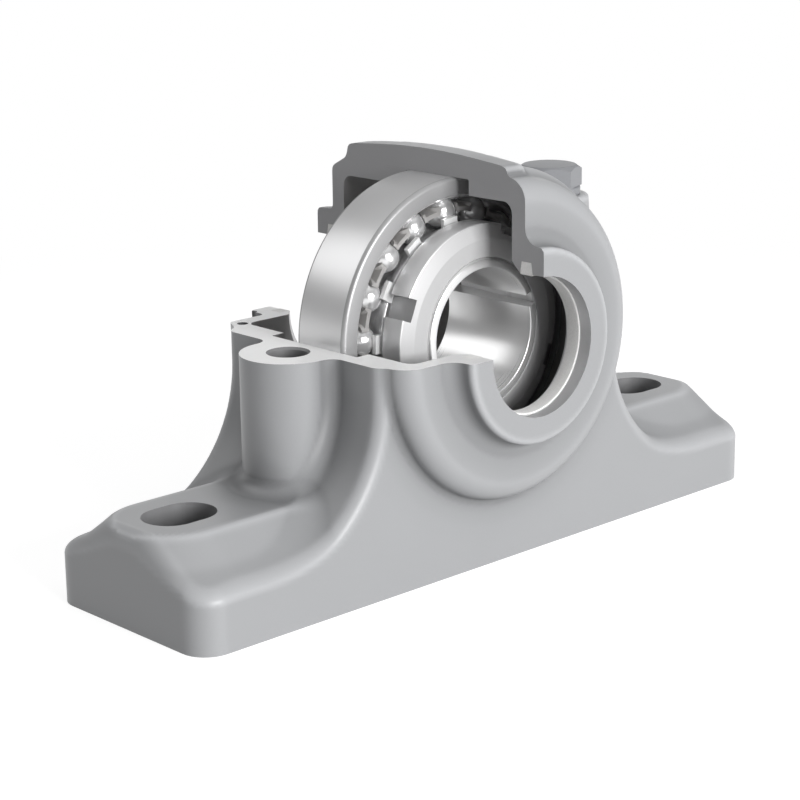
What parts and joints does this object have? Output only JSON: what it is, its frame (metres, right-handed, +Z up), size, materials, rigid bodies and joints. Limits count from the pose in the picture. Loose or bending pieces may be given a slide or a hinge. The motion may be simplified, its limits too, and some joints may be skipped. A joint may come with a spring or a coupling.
{
  "type": "split plummer block",
  "caption": "Split cast iron plummer block for a horizontal shaft, cut open at the cap to show its self-aligning ball bearing on a tapered adapter sleeve.",
  "frame": {"origin": "middle of the base on the flat underside, under the shaft axis", "axes": "+X along the base over both feet, +Y along the shaft away from the lock nut's side, +Z up from the underside"},
  "size_m": [0.205, 0.086, 0.1065],
  "materials": {
    "casting": "smooth light grey casting, faces machined bright",
    "fastener": "turned and forged, plain",
    "ring_steel": "ground",
    "ball_steel": "polished",
    "cage_steel": "pressed sheet",
    "felt": "pressed felt"
  },
  "bodies": {
    "housing": {"housing_base": "casting", "housing_cap": "casting", "cap_bolt": "fastener", "spring_washer": "fastener", "dowel_pin": "fastener", "locating_ring": "ring_steel", "seal_strip_front_lower": "felt", "seal_strip_front_upper": "felt", "seal_strip_back_lower": "felt", "seal_strip_back_upper": "felt", "outer_ring": "ring_steel"},
    "shaft_group": {"inner_ring": "ring_steel", "adapter_sleeve": "ring_steel", "lock_nut": "ring_steel", "lock_washer": "cage_steel"},
    "rolling_set": {"balls_front_row": "ball_steel", "balls_back_row": "ball_steel", "cage": "cage_steel"}
  },
  "joints": [
    {"name": "shaft_spin", "type": "hinge", "parent": "housing", "child": "shaft_group", "pos_m": [0, 0, 0.06], "axis": [0, 1, 0], "continuous": true},
    {"name": "cage_orbit", "type": "hinge", "parent": "housing", "child": "rolling_set", "pos_m": [0, 0, 0.06], "axis": [0, 1, 0], "continuous": true}
  ],
  "couplings": [
    {"joint": "cage_orbit", "follows": "shaft_spin", "ratio": 0.43}
  ]
}
